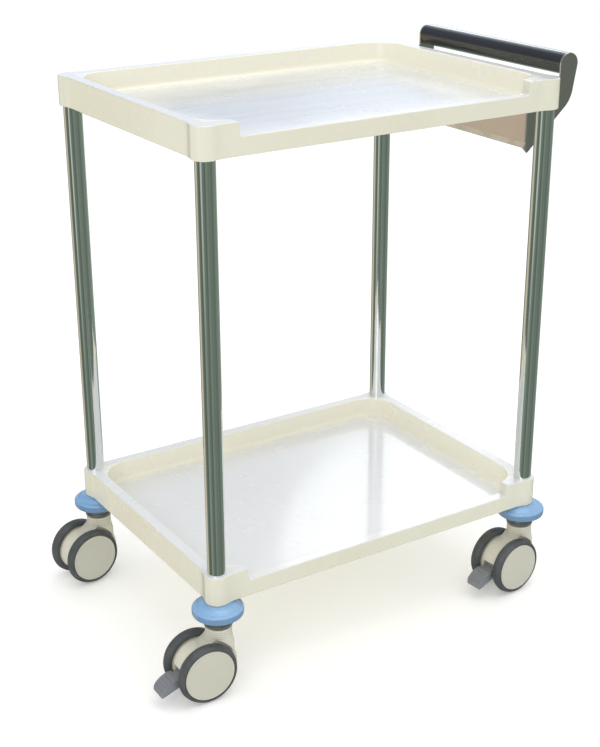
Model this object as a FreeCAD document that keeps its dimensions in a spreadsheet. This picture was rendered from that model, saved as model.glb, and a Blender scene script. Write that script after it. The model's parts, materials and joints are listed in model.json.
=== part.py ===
import FreeCAD, Part
import math
import os
from types import SimpleNamespace

import Sketcher
from FreeCAD import Placement, Rotation, Vector

# Rolling salon trolley: two moulded trays on four tubes, a push handle at the +X end
# and four twin-wheel swivel casters, the two front ones with a foot brake.
# Millimetres; +Z up, +X towards the handle, -Y is the front; the floor is z = 0.

doc = FreeCAD.newDocument("salon_trolley")


class Size:
    """A number from the sheet, or one worked out from others, with its expression."""

    def __init__(self, value, text):
        self.value = float(value)
        self.text = text

    def __add__(self, other):
        other = as_size(other)
        return Size(self.value + other.value, f"({self.text} + {other.text})")

    def __sub__(self, other):
        other = as_size(other)
        return Size(self.value - other.value, f"({self.text} - {other.text})")

    def __mul__(self, other):
        other = as_size(other)
        return Size(self.value * other.value, f"({self.text} * {other.text})")

    def __truediv__(self, other):
        other = as_size(other)
        return Size(self.value / other.value, f"({self.text} / {other.text})")

    def __neg__(self):
        return self * -1


def as_size(number):
    """A plain number as a Size, so that both can be mixed in one formula."""
    if isinstance(number, Size):
        return number
    return Size(number, f"({number})")


def root(size):
    return Size(math.sqrt(size.value), f"sqrt({size.text})")


def cosine(size):
    return Size(math.cos(math.radians(size.value)), f"cos({size.text} * 1 deg)")


def sine(size):
    return Size(math.sin(math.radians(size.value)), f"sin({size.text} * 1 deg)")


# ---------------------------------------------------------------- driving dimensions

DIMENSIONS = {
    # whole frame
    "frame_shift_x": 8.84,       # leg centre from the origin, so that the origin is the
    "frame_shift_y": 1.05,       # middle of the whole trolley's box
    "leg_span_x": 614,
    "leg_span_y": 437.4,
    "tray_height": 49,
    "lower_tray_base": 156,
    "upper_tray_base": 852,
    # tray moulding
    "shell": 3.2,
    "wall_overhang": 15.4,       # straight wall outside the leg axes
    "column_radius": 20.5,
    "column_blend": 60,
    "rim_width": 19,
    "basin_depth": 35,
    "basin_corner": 50,
    "basin_cove": 8,
    "edge_round": 2,
    "notch_half": 260,
    "notch_depth": 21,
    "notch_low_round": 6,
    "notch_top_round": 4,
    "rib": 2.6,
    "floor_pitch_x": 75,
    "floor_pitch_y": 70,
    "side_pitch": 62,
    "front_pitch": 77,
    "boss_radius": 6.5,
    "boss_height": 20,
    "boss_reach": 124,
    "socket_depth": 35,
    "land_socket_depth": 33,
    # legs
    "tube_radius": 15,
    "tube_wall": 1.5,
    "insert_length": 30,
    # handle
    "grip_x": 381.6,
    "grip_z": 909.5,
    "grip_radius": 18,
    "core_radius": 12,
    "core_wall": 2,
    "grip_half": 184.5,
    "ear_thickness": 3,
    "ear_shelf": 889,
    "ear_shelf_round": 4,
    "ear_inner_x": 297,
    "ear_lean": 10,              # degrees off upright, below the grip
    "ear_bend_x": 392.4,
    "ear_bend_z": 867,
    "ear_bend_radius": 46,
    "ear_slope_x": 377.2,
    "ear_slope_z": 840,
    "ear_tip_x": 302,
    "ear_tip_z": 774,
    "ear_heel_x": 291.5,
    "ear_heel_z": 784.7,
    "panel_sheet": 1.5,
    "panel_bend_z": 791,
    "panel_bend_step": 0.6,
    "panel_lip_x": 1.1,
    "panel_lip_z": 1,
    "flange_reach": 318.5,
    "screw_radius": 1.8,
    "screw_length": 14,
    "screw_head_radius": 3.8,
    "screw_head_height": 2.2,
    # bumper disc, stem and swivel bearing
    "disc_radius": 41,
    "disc_low": 133,
    "disc_high": 147,
    "disc_round": 5,
    "disc_crown": 60,
    "disc_shoulder": 23,
    "disc_shoulder_drop": 1,
    "disc_land": 21,
    "disc_collar_radius": 22.5,
    "disc_collar_low": 124.5,
    "disc_collar_round": 1.5,
    "disc_hollow": 2,
    "stem_radius": 6,
    "stem_top": 195,
    "stem_head_radius": 9,
    "stem_head_height": 4,
    "stem_low": 79.5,
    "run_gap": 0.05,             # radial clearance of every running fit
    "bearing_radius": 23,
    "bearing_groove": 20,
    "bearing_edge": 0.6,
    "lower_ring_low": 2,         # ring heights are from the top of the neck
    "lower_ring_high": 6,
    "upper_ring_low": 7.6,
    "upper_ring_high": 9.4,
    "upper_ring_step": 1,
    "bearing_gap": 0.1,
    # caster
    "swivel_fl": -2,             # degrees about the leg at rest
    "swivel_fr": 5,
    "swivel_rl": 7,
    "swivel_rr": 4,
    "wheel_trail": 34,
    "wheel_radius": 50,
    "wheel_inner": 18,
    "wheel_outer": 36,
    "tread_crown": 3.6,
    "tread_bend": 13,
    "tyre_edge": 2,
    "tyre_seat": 40,
    "cap_radius": 42,
    "cap_thickness": 3,
    "cap_rim": 0.7,
    "cap_rim_start": 1,          # rim steps, in from the cap's edge
    "cap_rim_end": 2.4,
    "cap_rim_foot": 3.6,
    "hub_bore_wall": 5,
    "hub_rim_wall": 34.3,
    "hub_web": 4,
    "hub_gap": 0.5,
    "axle_radius": 4,
    "axle_half": 31.5,
    "drum_radius": 38.5,
    "drum_lip": 10,              # degrees below level, behind the axle
    "web_half": 16.5,
    "web_front": 20,
    "web_shoulder": 50,
    "web_hollow": 26,
    "web_drop": 3,
    "hood_radius": 57,
    "hood_low": 4,               # degrees below level, behind the axle
    "hood_high": 55,             # degrees above level
    "neck_top": 113.5,
    "neck_radius": 21.5,
    "neck_edge": 1,
    "neck_flare": 24.5,
    "neck_flare_high": 84,
    "neck_low": 70,
    "neck_rib_pitch": 3.6,
    "neck_rib_depth": 0.6,
    "neck_rib_slope": 0.4,
    "wheel_clearance": 53,
    "stem_cavity_radius": 10,
    "stem_cavity_low": 76,
    "stem_cavity_high": 84,
    # foot brake, from the wheel centre
    "brake_pin_x": -28,
    "brake_pin_z": -4,
    "brake_pin_radius": 2.5,
    "brake_bar_x": -26,
    "brake_bar_z": 11,
    "brake_bar_radius": 2.5,
    "brake_bar_half": 21,
    "brake_eye": 4.5,
    "pin_eye": 6,
    "tongue_half": 11,
    "slot_half": 12.5,
    "slot_mouth": -50,
    "slot_back": -17,
    "slot_floor": -24,
    "slot_roof": 16.4,
    "slot_roof_end": -30.5,
    "slot_brow": -34.8,
    "slot_brow_high": 12.5,
    "slot_brow_low": 7,
    "bar_slot": 5,
    "bar_slot_lead": 1.6,
    "tongue_root_x": -46,
    "tongue_root_high": -6,
    "tongue_root_low": -17,
    "pin_eye_rise": 2,
    "pedal_half": 15.8,
    "pedal_toe_x": -76,
    "pedal_toe_z": -24,
    "pedal_heel_x": -43,
    "pedal_heel_z": -4.5,
    "pedal_heel_low": -17,
    "pedal_heel_flat": 7,
    "pedal_crown": 45,
    "pedal_toe_back": 2.5,
    "pedal_toe_drop": 4.5,
    "pedal_toe_round": 6,
    "pedal_corner": 6,
    "ridge_radius": 1.2,
    "ridge_half": 12,
    "ridge_bulge": 2.9,          # height of the pedal's crown over its chord, at mid-length
    "ridge_fall": 0.72,          # how much lower the crown is, one ridge further out
    "ridge_normal_x": -0.62,
    "ridge_normal_z": 0.78,
}

NECK_RIBS = 4
PEDAL_RIDGES = 4
BOSS_PLACES = (-1, -0.5, 0.5, 1)   # along the end wall, times boss_reach
PAST = 10                          # how far a cut runs on beyond the solid
TOUCH = 0.01                       # two levels this close are the same

sheet = doc.addObject("Spreadsheet::Sheet", "Sizes")
for row, (word, number) in enumerate(DIMENSIONS.items(), start=1):
    sheet.set(f"A{row}", word)
    sheet.set(f"B{row}", str(number))
    sheet.setAlias(f"B{row}", word)
doc.recompute()

d = SimpleNamespace(**{word: Size(number, f"Sizes.{word}") for word, number in DIMENSIONS.items()})

half_x = d.leg_span_x / 2
half_y = d.leg_span_y / 2
wall_x = half_x + d.wall_overhang
wall_y = half_y + d.wall_overhang


# ------------------------------------------------------------------ drawing helpers


def bind(feature, prop, size):
    """Set a property to a size and keep it bound to the sheet."""
    size = as_size(size)
    feature.setExpression(prop, size.text)


def place(feature, x=0, y=0, z=0, turn=0):
    """Put a piece in the trolley's frame: x and y from the leg centre, z from the floor."""
    feature.Placement = Placement(Vector(0, 0, 0), Rotation(Vector(0, 0, 1), 1))
    bind(feature, "Placement.Rotation.Angle", Size(0, f"({as_size(turn).text} * 1 deg)"))
    bind(feature, "Placement.Base.x", d.frame_shift_x + x)
    bind(feature, "Placement.Base.y", d.frame_shift_y + y)
    bind(feature, "Placement.Base.z", z)


def new_body(label):
    body = doc.addObject("PartDesign::Body", label)
    body.Label = label
    return body


def new_sketch(body, role, shift_x=0, shift_y=0, lift=0):
    """A sketch on one of the body's origin planes, moved along its own three axes."""
    sketch = body.newObject("Sketcher::SketchObject", f"{body.Label}_sketch")
    plane = [item for item in body.Origin.OriginFeatures if item.Role == role][0]
    sketch.AttachmentSupport = [(plane, "")]
    sketch.MapMode = "FlatFace"
    for axis, amount in (("x", shift_x), ("y", shift_y), ("z", lift)):
        bind(sketch, f"AttachmentOffset.Base.{axis}", amount)
    return sketch


def fix_point(sketch, geometry, point, x, y):
    """Hold a point of the sketch at x, y from its origin, by sizes from the sheet."""
    for kind, size in (("DistanceX", x), ("DistanceY", y)):
        index = sketch.addConstraint(Sketcher.Constraint(kind, -1, 1, geometry, point, size.value))
        name = f"{kind.lower()}_{index}"
        sketch.renameConstraint(index, name)
        bind(sketch, f"Constraints.{name}", size)


def fix_radius(sketch, geometry, radius):
    index = sketch.addConstraint(Sketcher.Constraint("Radius", geometry, radius.value))
    name = f"radius_{index}"
    sketch.renameConstraint(index, name)
    bind(sketch, f"Constraints.{name}", radius)


def arc_between(start, end, bend):
    """The short arc from start to end: bend > 0 turns left, bend < 0 turns right."""
    radius = abs(bend)
    middle = (start + end) / 2
    half_chord = (end - start).Length / 2
    side = Vector(-(end - start).y, (end - start).x, 0).normalize()
    if bend < 0:
        side = -side
    centre = middle + side * math.sqrt(max(radius**2 - half_chord**2, 0))
    first, last = (start, end) if bend > 0 else (end, start)
    angle_first = math.atan2(first.y - centre.y, first.x - centre.x)
    angle_last = math.atan2(last.y - centre.y, last.x - centre.x)
    if angle_last < angle_first:
        angle_last += 2 * math.pi
    return Part.ArcOfCircle(Part.Circle(centre, Vector(0, 0, 1), radius), angle_first, angle_last)


def draw_outline(sketch, corners):
    """A closed outline through corners (x, y) or (x, y, bend of the arc that ends there)."""
    corners = [[as_size(number) for number in corner] for corner in corners]
    points = [Vector(corner[0].value, corner[1].value, 0) for corner in corners]
    starts = []
    ends = []
    for index, corner in enumerate(corners):
        start = points[index - 1]
        end = points[index]
        if len(corner) == 2:
            geometry = sketch.addGeometry(Part.LineSegment(start, end))
            turns_left = True
        else:
            geometry = sketch.addGeometry(arc_between(start, end, corner[2].value))
            turns_left = corner[2].value > 0
        starts.append((geometry, 1 if turns_left else 2))
        ends.append((geometry, 2 if turns_left else 1))
    for index, corner in enumerate(corners):
        following = starts[(index + 1) % len(corners)]
        sketch.addConstraint(Sketcher.Constraint("Coincident", *ends[index], *following))
        fix_point(sketch, *ends[index], corner[0], corner[1])
        if len(corner) == 3:
            bend = corner[2] if corner[2].value > 0 else -corner[2]
            fix_radius(sketch, ends[index][0], bend)


def draw_circle(sketch, x, y, radius):
    x, y, radius = as_size(x), as_size(y), as_size(radius)
    circle = Part.Circle(Vector(x.value, y.value, 0), Vector(0, 0, 1), radius.value)
    geometry = sketch.addGeometry(circle)
    fix_point(sketch, geometry, 3, x, y)
    fix_radius(sketch, geometry, radius)


def rectangle(low_x, low_y, high_x, high_y):
    return [(low_x, low_y), (high_x, low_y), (high_x, high_y), (low_x, high_y)]


def rounded_rectangle(reach_x, reach_y, radius):
    """Corners of a rectangle centred on the origin, with arcs of one radius."""
    flat_x = reach_x - radius
    flat_y = reach_y - radius
    return [
        (reach_x, -flat_y, radius), (reach_x, flat_y), (flat_x, reach_y, radius), (-flat_x, reach_y),
        (-reach_x, flat_y, radius), (-reach_x, -flat_y), (-flat_x, -reach_y, radius), (flat_x, -reach_y),
    ]


def extrude(body, kind, sketch, length, side="One side", back=False):
    """A Pad or Pocket of the sketch."""
    feature = body.newObject(f"PartDesign::{kind}", f"{body.Label}_{kind.lower()}")
    feature.Profile = sketch
    bind(feature, "Length", length)
    feature.SideType = side
    feature.Reversed = back
    return feature


def spin(body, kind, sketch):
    """A full Revolution or Groove of the sketch about its own vertical axis."""
    feature = body.newObject(f"PartDesign::{kind}", f"{body.Label}_{kind.lower()}")
    feature.Profile = sketch
    feature.ReferenceAxis = (sketch, ["V_Axis"])
    feature.Angle = 360
    return feature


def repeat(body, feature, sketch, count_x, pitch_x, count_y, pitch_y):
    """Repeat a feature in a grid along the sketch's two axes."""
    pattern = body.newObject("PartDesign::LinearPattern", f"{body.Label}_pattern")
    pattern.Originals = [feature]
    pattern.Direction = (sketch, ["H_Axis"])
    pattern.Occurrences = count_x
    bind(pattern, "Length", as_size(pitch_x) * max(count_x - 1, 1))
    pattern.Direction2 = (sketch, ["V_Axis"])
    pattern.Occurrences2 = count_y
    bind(pattern, "Length2", as_size(pitch_y) * max(count_y - 1, 1))
    body.Tip = pattern
    return pattern


def round_edges(body, feature, radius, wanted):
    """Fillet those edges of the feature for which wanted(edge) is true."""
    doc.recompute()
    names = [f"Edge{n}" for n, edge in enumerate(feature.Shape.Edges, start=1) if wanted(edge)]
    fillet = body.newObject("PartDesign::Fillet", f"{body.Label}_fillet")
    fillet.Base = (feature, names)
    bind(fillet, "Radius", radius)
    return fillet


def turned(label, *outlines):
    """A body turned about its own Z axis; each outline is drawn in (radius, height)."""
    body = new_body(label)
    sketch = new_sketch(body, "XZ_Plane")
    for corners in outlines:
        draw_outline(sketch, corners)
    spin(body, "Revolution", sketch)
    return body


def cylinder(label, radius, height, x=0, y=0, z=0):
    """A Part primitive: an upright cylinder standing at x, y, z."""
    solid = doc.addObject("Part::Cylinder", label)
    solid.Label = label
    bind(solid, "Radius", radius)
    bind(solid, "Height", height)
    for axis, amount in (("x", x), ("y", y), ("z", z)):
        bind(solid, f"Placement.Base.{axis}", amount)
    return solid


def ring(label, outer, inner, height, x=0, y=0, z=0):
    """An upright tube: an outer cylinder less an inner one."""
    cut = doc.addObject("Part::Cut", label)
    cut.Label = label
    cut.Base = cylinder(f"{label}_outer", outer, height, x, y, z)
    cut.Tool = cylinder(f"{label}_inner", inner, height, x, y, z)
    return cut


def fused(label, *solids):
    union = doc.addObject("Part::MultiFuse", label)
    union.Label = label
    union.Shapes = list(solids)
    return union


def group(label, solids):
    """Identical small pieces that share one node, each still a solid of its own."""
    compound = doc.addObject("Part::Compound", label)
    compound.Label = label
    compound.Links = solids
    return compound


pieces = []


def keep(feature):
    """Note a finished sub-part, so that it is checked and written."""
    pieces.append(feature)
    return feature


# ---------------------------------------------------------------------------- corners

CORNERS = {
    "fl": SimpleNamespace(x=-half_x, y=-half_y, swivel=d.swivel_fl, braked=True),
    "fr": SimpleNamespace(x=half_x, y=-half_y, swivel=d.swivel_fr, braked=True),
    "rl": SimpleNamespace(x=-half_x, y=half_y, swivel=d.swivel_rl, braked=False),
    "rr": SimpleNamespace(x=half_x, y=half_y, swivel=d.swivel_rr, braked=False),
}


# ------------------------------------------------------------------------------ trays


def tray_outline():
    """Straight walls that swell into a round column at each leg, through hollow blends."""
    spread = d.column_radius + d.column_blend
    stand_off = d.wall_overhang + d.column_blend
    reach = root(spread * spread - stand_off * stand_off)
    near = reach * d.column_radius / spread
    far = stand_off * d.column_radius / spread
    corner = [(wall_x, half_y - reach), (half_x + far, half_y - near),
              (half_x - near, half_y + far), (half_x - reach, wall_y)]
    outline = []
    for sign_x, sign_y in ((1, 1), (-1, 1), (-1, -1), (1, -1)):
        ordered = corner if sign_x * sign_y > 0 else corner[::-1]
        bends = [None, -d.column_blend, d.column_radius, -d.column_blend]
        for (x, y), bend in zip(ordered, bends):
            point = (x * sign_x, y * sign_y)
            outline.append(point if bend is None else (*point, bend))
    return outline


def notch_outline():
    """The lowered stretch of the front wall, seen from the front."""
    step = d.notch_half
    low = d.tray_height - d.notch_depth
    foot = d.notch_low_round
    lip = d.notch_top_round
    above = d.tray_height + PAST
    return [
        (step - foot, low), (step, low + foot, foot), (step, d.tray_height - lip),
        (step + lip, d.tray_height, -lip), (step + lip, above), (-step - lip, above),
        (-step - lip, d.tray_height), (-step, d.tray_height - lip, -lip), (-step, low + foot),
        (-step + foot, low, foot),
    ]


def cells(body, outlines, depth, counts, pitches):
    """Hollow cells cut up into the underside, repeated in a grid with ribs between them."""
    sketch = new_sketch(body, "XY_Plane")
    for corners in outlines:
        draw_outline(sketch, corners)
    pocket = extrude(body, "Pocket", sketch, depth, back=True)
    return repeat(body, pocket, sketch, counts[0], pitches[0], counts[1], pitches[1])


def hollow_underside(body):
    """Ribs under the floor and inside the double walls, leaving a thin shell."""
    floor_cell_x = d.floor_pitch_x - d.rib
    floor_cell_y = d.floor_pitch_y - d.rib
    floor_depth = d.tray_height - d.basin_depth - d.shell
    for columns, rows in ((8, 4), (6, 6)):
        low_x = d.floor_pitch_x * (-columns / 2) + d.rib / 2
        low_y = d.floor_pitch_y * (-rows / 2) + d.rib / 2
        cell = rectangle(low_x, low_y, low_x + floor_cell_x, low_y + floor_cell_y)
        cells(body, [cell], floor_depth, (columns, rows), (d.floor_pitch_x, d.floor_pitch_y))
    channel = d.rim_width - d.shell * 2
    wall_depth = d.tray_height - d.shell
    low_y = d.side_pitch * -3 + d.rib / 2
    high_y = d.side_pitch * -2 - d.rib / 2
    ends = [
        rectangle(wall_x - d.shell - channel, low_y, wall_x - d.shell, high_y),
        rectangle(-wall_x + d.shell, low_y, -wall_x + d.shell + channel, high_y),
    ]
    cells(body, ends, wall_depth, (1, 6), (1, d.side_pitch))
    low_x = d.front_pitch * -3.5 + d.rib / 2
    high_x = d.front_pitch * -2.5 - d.rib / 2
    rear = rectangle(low_x, wall_y - d.shell - channel, high_x, wall_y - d.shell)
    cells(body, [rear], wall_depth, (7, 1), (d.front_pitch, 1))
    front = rectangle(low_x, -wall_y + d.shell, high_x, -wall_y + d.shell + channel)
    cells(body, [front], wall_depth - d.notch_depth, (7, 1), (d.front_pitch, 1))


def is_across_the_rim(edge):
    """True for an edge that runs straight through a wall from face to face."""
    box = edge.BoundBox
    return box.XLength < TOUCH and box.ZLength < TOUCH


def tray(label, base, legs_from_above):
    """One tray: the same moulding twice, with leg sockets in its underside or its lands."""
    body = new_body(label)
    sketch = new_sketch(body, "XY_Plane")
    draw_outline(sketch, tray_outline())
    extrude(body, "Pad", sketch, d.tray_height)

    sketch = new_sketch(body, "XY_Plane", lift=d.tray_height)
    draw_outline(sketch, rounded_rectangle(wall_x - d.rim_width, wall_y - d.rim_width, d.basin_corner))
    basin = extrude(body, "Pocket", sketch, d.basin_depth)
    basin_floor = (d.tray_height - d.basin_depth).value
    round_edges(body, basin, d.basin_cove, lambda edge: edge.BoundBox.ZLength < TOUCH
                and abs(edge.BoundBox.ZMax - basin_floor) < TOUCH)

    sketch = new_sketch(body, "XZ_Plane", lift=wall_y + PAST)
    draw_outline(sketch, notch_outline())
    notch = extrude(body, "Pocket", sketch, d.rim_width + PAST * 2)
    rim_low = (d.tray_height - d.notch_depth).value - TOUCH
    long_seam = d.tray_height.value / 2
    rim = round_edges(body, notch, d.edge_round, lambda edge: edge.BoundBox.ZMin > rim_low
                      and edge.BoundBox.ZLength < long_seam and not is_across_the_rim(edge))
    round_edges(body, rim, d.edge_round, lambda edge: edge.BoundBox.ZMax < TOUCH)

    hollow_underside(body)

    sketch = new_sketch(body, "XY_Plane")
    for side in BOSS_PLACES:
        draw_circle(sketch, wall_x - d.rim_width / 2, d.boss_reach * side, d.boss_radius)
    extrude(body, "Pad", sketch, d.boss_height)
    sketch = new_sketch(body, "XY_Plane")
    for side in BOSS_PLACES:
        draw_circle(sketch, wall_x - d.rim_width / 2, d.boss_reach * side, d.screw_radius)
    extrude(body, "Pocket", sketch, d.screw_length, back=True)

    if legs_from_above:
        sketch = new_sketch(body, "XY_Plane", lift=d.tray_height)
    else:
        sketch = new_sketch(body, "XY_Plane")
    for corner in CORNERS.values():
        draw_circle(sketch, corner.x, corner.y, d.tube_radius)
    if legs_from_above:
        extrude(body, "Pocket", sketch, d.land_socket_depth)
        sketch = new_sketch(body, "XY_Plane")
        for corner in CORNERS.values():
            draw_circle(sketch, corner.x, corner.y, d.stem_radius)
        extrude(body, "Pocket", sketch, d.tray_height, back=True)
    else:
        extrude(body, "Pocket", sketch, d.socket_depth, back=True)
    place(body, z=base)
    return body


# ------------------------------------------------------------------------------- legs


def legs():
    """Four steel tubes, each with a threaded insert in its foot for the caster stem."""
    foot = d.lower_tray_base + d.tray_height - d.land_socket_depth
    head = d.upper_tray_base + d.socket_depth
    bore = d.tube_radius - d.tube_wall
    for name, corner in CORNERS.items():
        tube = keep(ring(f"leg_tube_{name}", d.tube_radius, bore, head - foot))
        place(tube, corner.x, corner.y, foot)
    inserts = []
    for name, corner in CORNERS.items():
        inserts.append(ring(f"leg_insert_{name}", bore, d.stem_radius, d.insert_length, corner.x, corner.y))
    threaded = keep(group("leg_threaded_inserts", inserts))
    place(threaded, z=foot)


# ----------------------------------------------------------------------------- handle


def ear_outline():
    """Side plate of the handle: from under the tray, up its end wall and round the grip."""
    lean_out = d.grip_radius * cosine(d.ear_lean)
    lean_down = d.grip_radius * sine(d.ear_lean)
    underside = d.upper_tray_base
    hollow = d.ear_shelf_round
    grip_back = d.grip_x - d.grip_radius
    return [
        (d.grip_x + lean_out, d.grip_z - lean_down), (d.grip_x, d.grip_z + d.grip_radius, d.grip_radius),
        (grip_back, d.grip_z, d.grip_radius), (grip_back, d.ear_shelf + hollow),
        (grip_back - hollow, d.ear_shelf, -hollow),
        (wall_x, d.ear_shelf), (wall_x, underside), (d.ear_inner_x, underside),
        (d.ear_inner_x, d.panel_bend_z), (d.ear_heel_x, d.ear_heel_z), (d.ear_tip_x, d.ear_tip_z),
        (d.ear_slope_x, d.ear_slope_z), (d.ear_bend_x, d.ear_bend_z, d.ear_bend_radius),
    ]


def handle():
    """Rubber grip on a steel core between two side plates, with a cross panel below."""
    for name, lift, back in (("front", d.grip_half, False), ("rear", -d.grip_half, True)):
        ear = new_body(f"handle_ear_{name}")
        sketch = new_sketch(ear, "XZ_Plane", lift=lift)
        draw_outline(sketch, ear_outline())
        extrude(ear, "Pad", sketch, d.ear_thickness, back=back)
        place(keep(ear))

    for label, outer, inner in (("handle_grip", d.grip_radius, d.core_radius),
                                ("handle_core_tube", d.core_radius, d.core_radius - d.core_wall)):
        bar = new_body(label)
        sketch = new_sketch(bar, "XZ_Plane")
        draw_circle(sketch, 0, 0, outer)
        draw_circle(sketch, 0, 0, inner)
        extrude(bar, "Pad", sketch, d.grip_half * 2, side="Symmetric")
        place(keep(bar), x=d.grip_x, z=d.grip_z)

    underside = d.upper_tray_base
    sheet_x = d.ear_inner_x + d.panel_sheet
    screw_x = wall_x - d.rim_width / 2
    panel = new_body("handle_panel")
    sketch = new_sketch(panel, "XZ_Plane")
    draw_outline(sketch, [
        (d.ear_inner_x, underside), (d.ear_inner_x, d.panel_bend_z), (d.ear_heel_x, d.ear_heel_z),
        (d.ear_heel_x + d.panel_lip_x, d.ear_heel_z - d.panel_lip_z),
        (sheet_x, d.panel_bend_z - d.panel_bend_step),
        (sheet_x, underside - d.panel_sheet), (d.flange_reach, underside - d.panel_sheet),
        (d.flange_reach, underside),
    ])
    extrude(panel, "Pad", sketch, d.grip_half * 2, side="Symmetric")
    sketch = new_sketch(panel, "XY_Plane", lift=underside)
    for side in BOSS_PLACES:
        draw_circle(sketch, screw_x, d.boss_reach * side, d.screw_radius)
    extrude(panel, "Pocket", sketch, d.panel_sheet * 2)
    place(keep(panel))

    screws = []
    for number, side in enumerate(BOSS_PLACES, start=1):
        y = d.boss_reach * side
        shank = cylinder(f"screw_shank_{number}", d.screw_radius, d.screw_length + d.panel_sheet, screw_x, y)
        head = cylinder(f"screw_head_{number}", d.screw_head_radius, d.screw_head_height, screw_x, y,
                        -d.screw_head_height)
        screws.append(fused(f"handle_screw_{number}", shank, head))
    set_of_screws = keep(group("handle_screws", screws))
    place(set_of_screws, z=underside - d.panel_sheet)


# ----------------------------------------------------- bumper discs and caster stems


def bumper_disc(name, corner):
    """Soft round bumper under a corner of the lower tray, with a collar round the stem."""
    top = d.lower_tray_base
    edge = d.disc_round
    low = d.disc_low
    collar = d.disc_collar_radius
    collar_edge = d.disc_collar_round
    hollow = d.disc_hollow
    disc = turned(f"bumper_disc_{name}", [
        (d.stem_radius, d.disc_collar_low), (collar - collar_edge, d.disc_collar_low),
        (collar, d.disc_collar_low + collar_edge, collar_edge),
        (collar, low - hollow), (collar + hollow, low, -hollow),
        (d.disc_radius - edge, low), (d.disc_radius, low + edge, edge),
        (d.disc_radius, d.disc_high - edge), (d.disc_radius - edge, d.disc_high, edge),
        (d.disc_shoulder, top - d.disc_shoulder_drop, d.disc_crown), (d.disc_land, top),
        (d.stem_radius, top),
    ])
    place(keep(disc), corner.x, corner.y)


def caster_stems():
    """Threaded steel stems: up into the leg inserts, down through the neck to a head."""
    stems = []
    for name, corner in CORNERS.items():
        head = cylinder(f"stem_head_{name}", d.stem_head_radius, d.stem_head_height, corner.x, corner.y)
        shank = cylinder(f"stem_shank_{name}", d.stem_radius, d.stem_top - d.stem_low, corner.x, corner.y)
        stems.append(fused(f"stem_{name}", head, shank))
    place(keep(group("caster_stems", stems)), z=d.stem_low)


# ----------------------------------------------------------------------------- caster

# Caster pieces are drawn about the leg axis, with the wheels trailing towards -X, and
# are then turned together by the corner's swivel angle.


def neck_outline():
    """Half section of the neck: fine ribs below its top, then a slight flare."""
    level = d.neck_top - d.neck_edge
    valley = d.neck_radius - d.neck_rib_depth
    slope = d.neck_rib_slope
    corners = [(0, d.neck_low), (0, d.neck_top), (d.neck_radius - d.neck_edge, d.neck_top),
               (d.neck_radius, level)]
    for rib_number in range(NECK_RIBS):
        low = level - d.neck_rib_pitch * (rib_number + 1)
        corners.append((d.neck_radius, low + slope * 3))
        corners.append((valley, low + slope * 2))
        corners.append((valley, low + slope))
        corners.append((d.neck_radius, low))
    corners.append((d.neck_flare, d.neck_flare_high))
    corners.append((d.neck_flare, d.neck_low))
    return corners[::-1]


def web_outline():
    """Drum between the wheels and the hood that carries it, from the wheel centre."""
    drum = d.drum_radius
    lip = (drum * cosine(d.drum_lip), -drum * sine(d.drum_lip), drum)
    hood_foot = (d.hood_radius * cosine(d.hood_low), -d.hood_radius * sine(d.hood_low))
    hood_head = (d.hood_radius * cosine(d.hood_high), d.hood_radius * sine(d.hood_high), d.hood_radius)
    top = d.neck_top - d.wheel_radius - d.web_drop
    return [
        hood_foot, hood_head, (d.wheel_trail, top), (d.web_front, top), (d.web_front, d.web_shoulder),
        (0, drum, -d.web_hollow), (-drum, 0, drum), (0, -drum, drum), lip,
    ]


def slot_outline():
    """Opening in the front of the drum that the pedal's lever reaches through."""
    return [
        (d.slot_mouth, d.slot_floor), (d.slot_back, d.slot_floor), (d.slot_back, d.slot_roof),
        (d.slot_roof_end, d.slot_roof), (d.slot_brow, d.slot_brow_high), (d.slot_brow, d.slot_brow_low),
        (d.slot_mouth, d.slot_brow_low),
    ]


def housing(name, corner):
    """Fork of the caster: neck, hood and drum in one moulding between the two wheels."""
    body = new_body(f"caster_housing_{name}")
    wheel_plane = {"shift_x": -d.wheel_trail, "shift_y": d.wheel_radius}
    sketch = new_sketch(body, "XZ_Plane", **wheel_plane)
    draw_outline(sketch, web_outline())
    extrude(body, "Pad", sketch, d.web_half * 2, side="Symmetric")

    sketch = new_sketch(body, "XZ_Plane")
    draw_outline(sketch, neck_outline())
    spin(body, "Revolution", sketch)

    sketch = new_sketch(body, "XY_Plane", shift_x=-d.wheel_trail, lift=d.wheel_radius)
    side_low = d.web_half
    side_high = d.wheel_outer + PAST
    draw_outline(sketch, rectangle(0, side_low, d.wheel_clearance, side_high))
    draw_outline(sketch, rectangle(0, -side_high, d.wheel_clearance, -side_low))
    spin(body, "Groove", sketch)

    sketch = new_sketch(body, "XZ_Plane")
    stem_bore = d.stem_radius + d.run_gap
    cavity = d.stem_cavity_radius
    above = d.neck_top + PAST
    draw_outline(sketch, [
        (0, d.stem_cavity_low), (cavity, d.stem_cavity_low), (cavity, d.stem_cavity_high),
        (stem_bore, d.stem_cavity_high), (stem_bore, above), (0, above),
    ])
    spin(body, "Groove", sketch)

    sketch = new_sketch(body, "XZ_Plane", **wheel_plane)
    draw_circle(sketch, 0, 0, d.axle_radius)
    if corner.braked:
        draw_circle(sketch, d.brake_pin_x, d.brake_pin_z, d.brake_pin_radius)
        draw_circle(sketch, d.brake_bar_x - d.bar_slot_lead, d.brake_bar_z, d.bar_slot)
    extrude(body, "Pocket", sketch, d.web_half * 2 + PAST, side="Symmetric")

    if corner.braked:
        sketch = new_sketch(body, "XZ_Plane", **wheel_plane)
        draw_outline(sketch, slot_outline())
        extrude(body, "Pocket", sketch, d.slot_half * 2, side="Symmetric")
    place(keep(body), corner.x, corner.y, turn=corner.swivel)


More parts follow.
